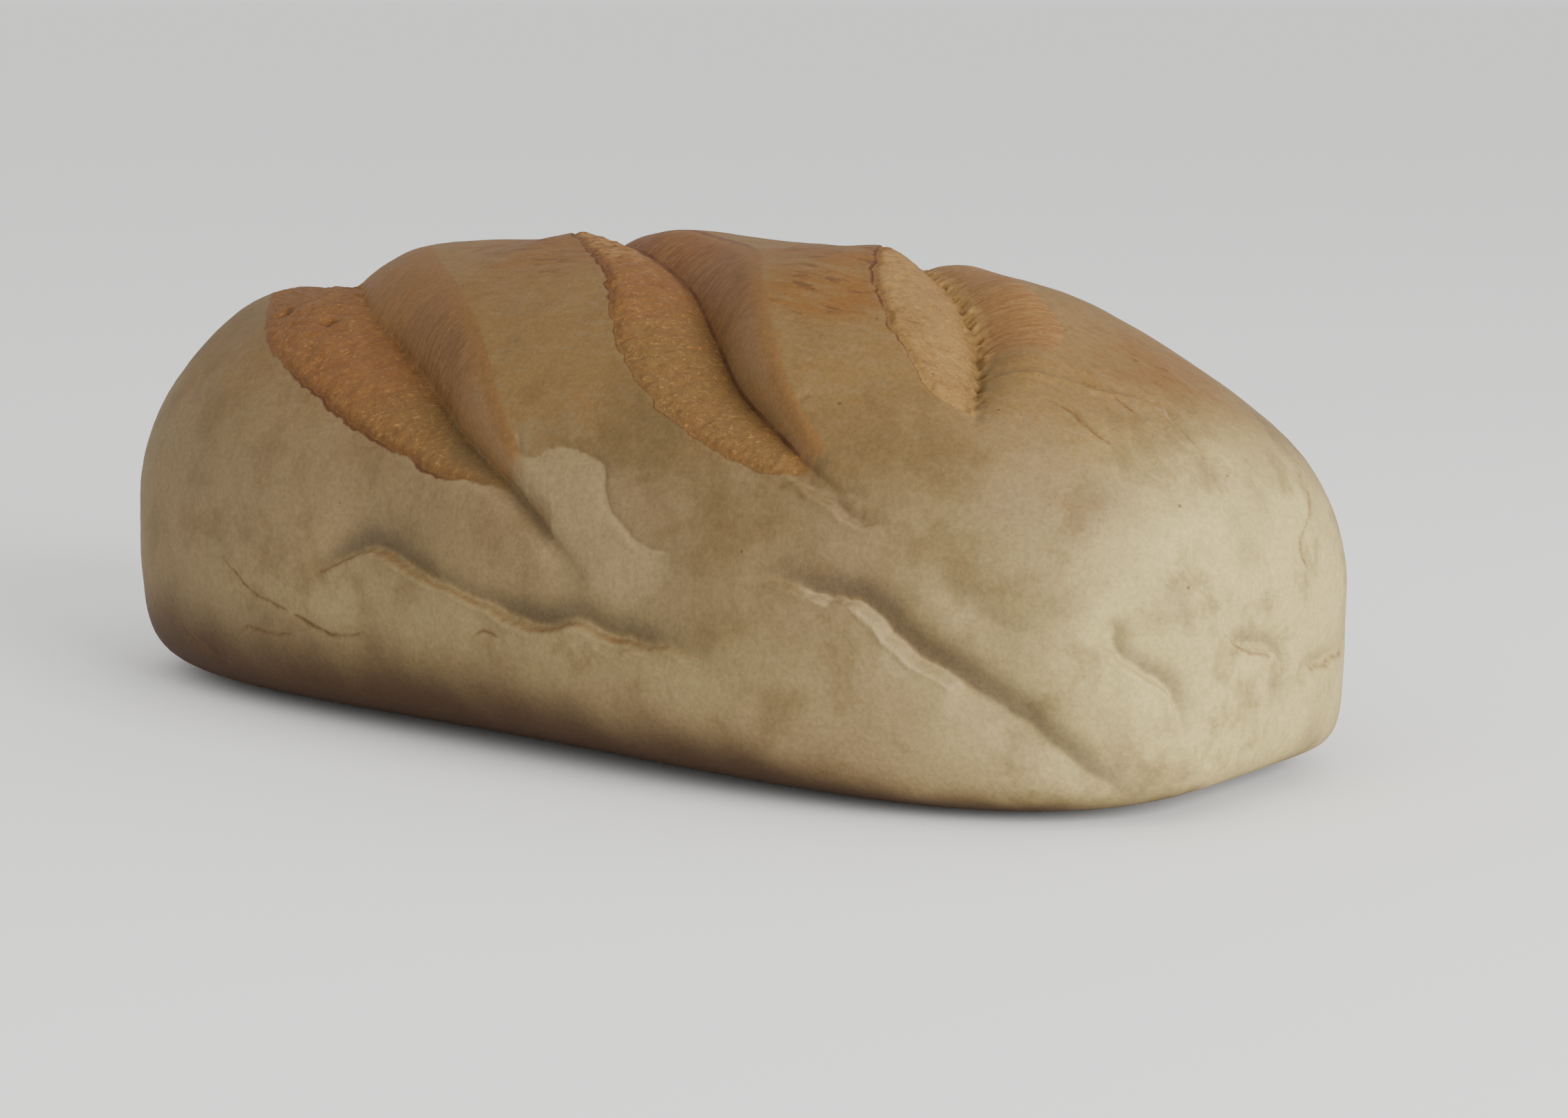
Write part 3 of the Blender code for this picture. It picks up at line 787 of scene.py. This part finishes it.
    def bake(self):
        """Where the crust browned or stayed pale, with painted light at its right end and painted shade.
        """
        uneven = 1 + BAKE_UNEVEN * lumps(self.points, BAKE_LUMP, SEEDS["bake"], BAKE_OCTAVES)
        for name, patches in PATCHES.items():
            for x, turn, along, around, strength in np.array(patches) * PATCH_UNITS:
                self.marks[name] += strength * patch(self.points, x, turn, along, around)
            self.marks[name] = np.clip(self.marks[name] * uneven, 0, 1)
        to_right = ramp(self.points[:, 0], *FOOT_SLOPE)
        foot_brown_and_shade = FOOT_HEIGHT["left"] + (FOOT_HEIGHT["right"] - FOOT_HEIGHT["left"]) * to_right
        heights = self.points[:, 2] + FOOT_WANDER * (uneven - 1)
        self.marks["foot_brown_and_shade"] = ramp(heights, foot_brown_and_shade, FOOT_FULL * foot_brown_and_shade)
        self.marks["upper"] = ramp(heights + BROWNING_WANDER * (uneven - 1), UPPER_START, UPPER_END)

    def finish(self):
        self.swell()
        self.fold_creases()
        self.cut_slashes()
        self.open_cracks()
        self.roughen()
        self.bake()
        self.height *= np.clip((self.points[:, 2] - FADE_START) / (FADE_END - FADE_START), 0, 1)


def near_detail(points, normals):
    """How fine each point needs the mesh: 0 away from detail, 1 near it, 2 at an edge or crack."""
    need = np.zeros(len(points), int)
    for stations in SLASHES:
        line = Beside(points, normals, stations, SLASH_UNITS)
        crumb, flank, depth = line.columns[:3]
        opened = (depth > FINE_DEPTH) & (line.past <= 0)
        inside = opened & (line.aside > -crumb - SLASH_MARGIN) & (line.aside < flank + SLASH_MARGIN)
        at_edge = np.abs(line.aside + crumb) < EDGE_BAND
        edge = opened & (at_edge | (np.abs(line.aside) < VALLEY_BAND))
        need[line.here] = np.maximum(need[line.here], np.where(edge, 2, inside))
    for _, stations in CREASES.values():
        line = Beside(points, normals, stations, CREASE_UNITS)
        inside = (line.past <= 0) & (np.abs(line.aside) < CREASE_BAND)
        edge = (line.past <= 0) & (line.aside > LIP_BAND[0]) & (line.aside < LIP_BAND[1])
        need[line.here] = np.maximum(need[line.here], np.where(edge, 2, inside))
    for stations in CRACKS:
        line = Beside(points, normals, stations, CRACK_UNITS)
        edge = (line.past <= 0) & (np.abs(line.aside) < CRACK_BAND)
        need[line.here] = np.maximum(need[line.here], np.where(edge, 2, 0))
    return need


def positions(mesh):
    return np.array([v.co for v in mesh.verts])


def normals_of(mesh):
    mesh.normal_update()
    return np.array([v.normal for v in mesh.verts])


def move_vertices(mesh, points):
    for vertex, point in zip(mesh.verts, points):
        vertex.co = point


def box_mesh():
    """A box from -1 to 1 whose faces are split into quads, more of them along than across."""
    mesh = bmesh.new()
    bmesh.ops.create_cube(mesh, size=2)
    for axis, cells in enumerate((CELLS_ALONG, CELLS_ACROSS, CELLS_UP)):
        edges = [e for e in mesh.edges if abs(e.verts[0].co[axis] - e.verts[1].co[axis]) > 1]
        bmesh.ops.subdivide_edges(mesh, edges=edges, cuts=cells - 1, use_grid_fill=True)
    return mesh


def refine(mesh):
    """Splits the faces in four near detail, and once more at its edges."""
    for level in (1, 2):
        corners = positions(mesh)
        body = box_to_body(corners)
        move_vertices(mesh, body)
        normals = normals_of(mesh)
        move_vertices(mesh, corners)
        need = near_detail(body, normals)
        mesh.verts.index_update()
        faces = [f for f in mesh.faces if max(need[v.index] for v in f.verts) >= level]
        edges = list({edge for face in faces for edge in face.edges})
        bmesh.ops.subdivide_edges(mesh, edges=edges, cuts=1, use_grid_fill=True)


def make_base_flat(mesh):
    """Joins the faces that lie on the floor into one."""
    base = [face for face in mesh.faces if all(v.co.z <= 0 for v in face.verts)]
    bmesh.ops.dissolve_faces(mesh, faces=base, use_verts=True)


def fit_to_frame(points, sizes):
    """Settles the loaf on the floor, and sets its box to the frame's."""
    points = points.copy()
    points[:, 2] = np.maximum(points[:, 2] - SETTLING, 0)
    low, high = points.min(axis=0), points.max(axis=0)
    wanted = np.array((sizes.length, sizes.width, sizes.height))
    middle = np.array((*(CAD_LOW + CAD_HIGH)[:2] / 2, CAD_LOW[2] + sizes.height / 2))
    return middle + (points - (low + high) / 2) * wanted / (high - low)


def loaf_mesh(sizes):
    """The whole skin, with the marks that colour it as layers of its vertices."""
    mesh = box_mesh()
    refine(mesh)
    points = box_to_body(positions(mesh))
    move_vertices(mesh, points)
    normals = normals_of(mesh)
    skin = Skin(points, normals, sizes)
    skin.finish()
    layers = {name: mesh.verts.layers.float.new(name) for name in skin.marks}
    for name, layer in layers.items():
        for vertex, value in zip(mesh.verts, skin.marks[name]):
            vertex[layer] = value
    move_vertices(mesh, fit_to_frame(points + normals * skin.height[:, None], sizes))
    make_base_flat(mesh)
    return mesh


def add(tree, kind, inputs=(), output=0, **settings):
    """Adds a node with values or links for its inputs, and returns one of its outputs."""
    node = tree.nodes.new(kind)
    for name, value in settings.items():
        setattr(node, name, value)
    for socket, value in dict(inputs).items():
        if isinstance(value, bpy.types.NodeSocket):
            tree.links.new(value, node.inputs[socket])
        else:
            node.inputs[socket].default_value = value
    return node.outputs[output]


def share_of(tree, parts, product, limits):
    """A product of parts, smoothly raised between its limits."""
    first, *others = product.split(" * ")
    value = parts[first]
    for other in others:
        value = add(tree, "ShaderNodeMath", {0: value, 1: parts[other]}, operation="MULTIPLY")
    if limits:
        inputs = {"Value": value, **dict(zip(RISE_INPUTS, limits))}
        value = add(tree, "ShaderNodeMapRange", inputs, interpolation_type="SMOOTHSTEP")
    return value


def skin_places(tree, parts):
    """The places that patterns are read at: on the loaf, along its crust, and down a slash."""
    where = add(tree, "ShaderNodeTexCoord", output="Object")
    fibres = add(tree, "ShaderNodeCombineXYZ", {"X": parts["slash_travel"], "Y": parts["valley_gap"]})
    inputs = {"Vector": where, "Scale": 1 / (FIBRE_BEND_MM["size"] * MM)}
    swirl = add(tree, "ShaderNodeTexNoise", inputs, "Color")
    inputs = {0: swirl, 1: (FIBRE_BEND_MM["reach"] * MM,) * 3, 2: fibres}
    bent = add(tree, "ShaderNodeVectorMath", inputs, operation="MULTIPLY_ADD")
    places = {"loaf": where, "slash": bent}
    for name, (place, stretch) in STRETCHES.items():
        places[name] = add(tree, "ShaderNodeMapping", {"Vector": places[place], "Scale": stretch})
    return places


def add_pores(tree, parts, where):
    """Small dark pits, far apart: the middles of some of the cells of a cell pattern."""
    inputs = {"Vector": where, "Scale": 1 / (PORE_SPACING_MM * MM)}
    for name, output in (("pore distance", "Distance"), ("pore choice", "Color")):
        parts[name] = add(tree, "ShaderNodeTexVoronoi", inputs, output)


def add_hairlines(tree, parts, where):
    """A net of hairline cracks: the borders of large cells, bent by a finer noise."""
    inputs = {"Vector": where, "Scale": 1 / (HAIRLINE_BEND_MM["size"] * MM), "Detail": HAIRLINE_DETAIL}
    bend = add(tree, "ShaderNodeTexNoise", inputs, "Color")
    inputs = {0: bend, 1: (HAIRLINE_BEND_MM["reach"] * MM,) * 3, 2: where}
    bent = add(tree, "ShaderNodeVectorMath", inputs, operation="MULTIPLY_ADD")
    inputs = {"Vector": bent, "Scale": 1 / (HAIRLINE_SPACING_MM * MM)}
    parts["hairline distance"] = add(
        tree, "ShaderNodeTexVoronoi", inputs, "Distance", feature="DISTANCE_TO_EDGE"
    )


def crust_material(colours):
    """Baked wheat crust and torn crumb: matt and mottled, as flour and steam leave it."""
    material = bpy.data.materials.new("baked crust")
    material.use_nodes = True
    tree = material.node_tree
    shader = tree.nodes["Principled BSDF"]
    parts = {}
    for name in MARKS:
        parts[name] = add(tree, "ShaderNodeAttribute", output="Fac", attribute_name=name)
    places = skin_places(tree, parts)
    for name, (place, size_mm, detail, roughness) in GRAINS.items():
        inputs = {"Vector": places[place], "Scale": 1 / (size_mm * MM)}
        inputs |= {"Detail": detail, "Roughness": roughness}
        parts[name] = add(tree, "ShaderNodeTexNoise", inputs, "Fac")
    for name, gap, grain, reach in FRAYED_EDGES:
        inputs = {0: parts[grain], 1: reach, 2: parts[gap]}
        parts[name] = add(tree, "ShaderNodeMath", inputs, operation="MULTIPLY_ADD")
    add_pores(tree, parts, places["loaf"])
    add_hairlines(tree, parts, places["loaf"])
    for name, product, *limits in SHARES:
        parts[name] = share_of(tree, parts, product, limits)
    tint = {name: (*getattr(colours, name), 1.0) for name in colours.__annotations__}
    for surface, (base, layers) in SURFACES.items():
        colour = tint[base]
        for name, product, *limits in layers:
            inputs = {0: share_of(tree, parts, product, limits), 6: colour, 7: tint[name]}
            colour = add(tree, "ShaderNodeMix", inputs, 2, data_type="RGBA")
        tint[surface] = colour
    inputs = {0: tint["skin"], 1: parts["speckle"]}
    speckled = add(tree, "ShaderNodeVectorMath", inputs, operation="MULTIPLY")
    tree.links.new(speckled, shader.inputs["Base Color"])

    depths = {}
    for surface, (first, first_depth, second, second_depth) in BUMPS.items():
        deep = add(tree, "ShaderNodeMath", {0: parts[first], 1: first_depth}, operation="MULTIPLY")
        inputs = {0: parts[second], 1: second_depth, 2: deep}
        depths[surface] = add(tree, "ShaderNodeMath", inputs, operation="MULTIPLY_ADD")
    inputs = {0: parts["in crumb"], 2: depths["crust"], 3: depths["crumb"]}
    bumps = add(tree, "ShaderNodeMix", inputs, data_type="FLOAT")
    inputs = {0: parts["pore"], 1: PORE_DEPTH, 2: bumps}
    pitted = add(tree, "ShaderNodeMath", inputs, operation="MULTIPLY_ADD")
    inputs = {"Height": pitted, "Distance": BUMP_DISTANCE_MM * MM, "Strength": BUMP_STRENGTH}
    normal = add(tree, "ShaderNodeBump", inputs)
    tree.links.new(normal, shader.inputs["Normal"])
    shader.inputs["Roughness"].default_value = CRUST_ROUGHNESS
    shader.inputs["Specular IOR Level"].default_value = CRUST_GLOSS
    return material


def floor_material(colour):
    """Matt painted board: pale, with hardly any gloss, so that the loaf's soft shadow shows."""
    material = bpy.data.materials.new("matt painted board")
    material.use_nodes = True
    shader = material.node_tree.nodes["Principled BSDF"]
    shader.inputs["Base Color"].default_value = (*colour, 1.0)
    shader.inputs["Roughness"].default_value = FLOOR_ROUGHNESS
    shader.inputs["Specular IOR Level"].default_value = FLOOR_GLOSS
    return material


def new_object(name, data):
    made = bpy.data.objects.new(name, data)
    bpy.context.scene.collection.objects.link(made)
    return made


def size_property(name, description, default, unit="LENGTH"):
    return FloatProperty(name=name, description=description, default=default, unit=unit, precision=5)


def colour_property(name, description, hex_colour):
    default = linear(hex_colour)
    return FloatVectorProperty(
        name=name, description=description, default=default, subtype="COLOR", size=3, min=0, max=1
    )


class BreadSizes(PropertyGroup):
    length: size_property("Length", "Length of the loaf", CAD_SIZE[0])
    width: size_property("Width", "Width of the loaf", CAD_SIZE[1])
    height: size_property("Height", "Height of the loaf", CAD_SIZE[2])
    cut_scale: size_property("Slash depth", "Depth of the slashes against the frame's", 1.0, "NONE")
    ragged_edge: size_property("Ragged edge", "How far the torn crust's edge strays", 0.0009)
    edge_lip: size_property("Edge lip", "How far the crust curls up at a slash", 0.00015)
    edge_groove: size_property("Edge groove", "How deep the crumb tears away under it", 0.0004)
    tear_height: size_property("Tear height", "Height of the fibres in the torn crumb", 0.0005)
    unevenness: size_property("Unevenness", "Height of the broad swells in the dough", 0.0006)
    wrinkle: size_property("Wrinkles", "Height of the fine wrinkles in the skin", 0.00012)


class BreadColours(PropertyGroup):
    crust: colour_property("Crust", "Baked skin", "#756243")
    crust_rosy: colour_property("Rosy crust", "Baked skin where it is a little warmer", "#7A6546")
    # Partly floury skin, partly painted light on the right end, which faces the key light
    crust_pale_and_lit: colour_property("Pale crust", "Floury skin, and painted light on the lit right end", "#A89864")
    # Partly duller skin, partly painted shade in hollows and on the left end
    crust_olive_and_shade: colour_property("Olive crust", "Duller patches, and painted shade in hollows", "#5E4B2C")
    # Browning towards the top, made darker as painted shade on the top
    crust_golden_and_shaded: colour_property("Golden crust", "Golden skin towards the top, partly painted shade", "#70542B")
    crust_toasted_and_shaded: colour_property("Toasted crust", "Skin browned along the top, partly painted shade", "#6F4A1E")
    crust_scorched: colour_property("Scorched crust", "Darkest streaks along the top", "#543418")
    # Painted shade, laid in the hollows of creases and in the narrow low ends of the slashes
    shade: colour_property("Fold shade", "Painted shade in a fold or at a slash's low end", "#4E4131")
    peeled: colour_property("Peeled crust", "Paler layer under a peeled skin", "#907C58")
    # Partly a browned base crust, partly painted shade where the loaf meets the floor
    foot_brown_and_shade: colour_property("Foot", "Skin browned, and painted shade, at the floor", "#38200A")
    stain: colour_property("Stained edge", "Browned edge of a crease", "#745230")
    crack: colour_property("Crack", "Bottom of cracks and pores", "#50351C")
    crumb: colour_property("Crumb", "Torn crumb in the slashes", "#744E27")
    crumb_deep: colour_property("Deep crumb", "Torn crumb where it is browner", "#6A4421")
    crumb_low: colour_property("Low crumb", "Torn crumb at the low end of a slash", "#694E28")
    crumb_golden: colour_property("Golden crumb", "Torn crumb where it is paler", "#8C6C3C")
    crumb_light: colour_property("Light crumb", "Fibres that stand out of the crumb", "#A07840")
    crumb_edge: colour_property("Crumb edge", "Crumb beside the crust's edge", "#583718")
    # Partly a burnt edge, partly painted shade under the crust's edge and in the valley
    edge_line_and_shade: colour_property("Edge line", "Dark line along the crust's edge and the valley, partly painted shade", "#4E2A12")
    flank: colour_property("Flank", "Far side of a slash", "#634323")
    flank_light: colour_property("Flank streaks", "Lighter streaks on a flank", "#7B5830")
    flank_red: colour_property("Red flank", "Flank browned near the top", "#693C18")
    flank_rim: colour_property("Flank rim", "Golden rim of a flank", "#704E27")


class BreadStage(PropertyGroup):
    floor_size: size_property("Floor size", "Half the width of the floor", 40.0)
    floor_colour: colour_property("Floor", "Painted board", "#FAFAF8")
    world_colour: colour_property("Surroundings", "Light from all round", "#FFFFFF")
    world_strength: size_property(
        "Surroundings strength", "Strength of the light all round", 1.05, "NONE"
    )
    key_power: size_property("Key power", "Large soft light, in watts", 42.0, "NONE")


class BREAD_OT_loaf(Operator):
    """Model the loaf's skin over the frame's loaf"""

    bl_idname = "bread.loaf"
    bl_label = "Loaf"

    def execute(self, context):
        scene = context.scene
        mesh = loaf_mesh(scene.bread_sizes)
        data = bpy.data.meshes.new("bloomer_loaf")
        mesh.to_mesh(data)
        mesh.free()
        data.shade_smooth()
        data.materials.append(crust_material(scene.bread_colours))
        loaf = new_object("bloomer_loaf", data)
        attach(loaf, "root")
        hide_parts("loaf")
        return {"FINISHED"}


def soft_light(name, place, aim, width, power):
    """A square soft light that faces a point."""
    data = bpy.data.lights.new(name, "AREA")
    data.size = width
    data.energy = power
    lamp = new_object(name, data)
    lamp.location = place
    lamp.rotation_euler = (Vector(aim) - Vector(place)).to_track_quat("-Z", "Y").to_euler()


class BREAD_OT_stage(Operator):
    """Make the floor, the soft light and the camera"""

    bl_idname = "bread.stage"
    bl_label = "Stage"

    def execute(self, context):
        scene = context.scene
        stage = scene.bread_stage
        mesh = bmesh.new()
        bmesh.ops.create_grid(mesh, x_segments=1, y_segments=1, size=stage.floor_size)
        bmesh.ops.translate(mesh, verts=mesh.verts, vec=(0, 0, CAD_LOW[2] - FLOOR_GAP))
        data = bpy.data.meshes.new("floor")
        mesh.to_mesh(data)
        mesh.free()
        data.materials.append(floor_material(stage.floor_colour))
        floor = new_object("floor", data)
        soft_light("key light", KEY_PLACE, (0, 0, CAD_SIZE[2] / 2), KEY_WIDTH, stage.key_power)
        world = bpy.data.worlds.new("studio")
        world.use_nodes = True
        background = world.node_tree.nodes["Background"]
        background.inputs["Color"].default_value = (*stage.world_colour, 1.0)
        background.inputs["Strength"].default_value = stage.world_strength
        scene.world = world
        camera_data = bpy.data.cameras.new("camera")
        camera_data.lens = CAMERA_LENS_MM
        camera_data.sensor_width = CAMERA_SENSOR_MM
        camera = new_object("camera", camera_data)
        camera.location = CAMERA_PLACE
        aim = Vector(CAMERA_AIM) - Vector(CAMERA_PLACE)
        camera.rotation_euler = aim.to_track_quat("-Z", "Y").to_euler()
        scene.camera = camera
        return {"FINISHED"}


class BREAD_PT_panel(Panel):
    """Lists what the add-on makes"""

    bl_label = "Bloomer loaf"
    bl_idname = "BREAD_PT_panel"
    bl_space_type = "VIEW_3D"
    bl_region_type = "UI"
    bl_category = "Bread"

    def draw(self, context):
        for operator in OPERATORS:
            self.layout.operator(operator.bl_idname)


OPERATORS = (BREAD_OT_loaf, BREAD_OT_stage)
CLASSES = (BreadSizes, BreadColours, BreadStage, *OPERATORS, BREAD_PT_panel)


def register():
    for each in CLASSES:
        bpy.utils.register_class(each)
    bpy.types.Scene.bread_sizes = PointerProperty(type=BreadSizes)
    bpy.types.Scene.bread_colours = PointerProperty(type=BreadColours)
    bpy.types.Scene.bread_stage = PointerProperty(type=BreadStage)


def unregister():
    del bpy.types.Scene.bread_stage
    del bpy.types.Scene.bread_colours
    del bpy.types.Scene.bread_sizes
    for each in reversed(CLASSES):
        bpy.utils.unregister_class(each)


def main():
    register()
    bpy.ops.bread.loaf()
    bpy.ops.bread.stage()


if __name__ == "__main__":
    main()
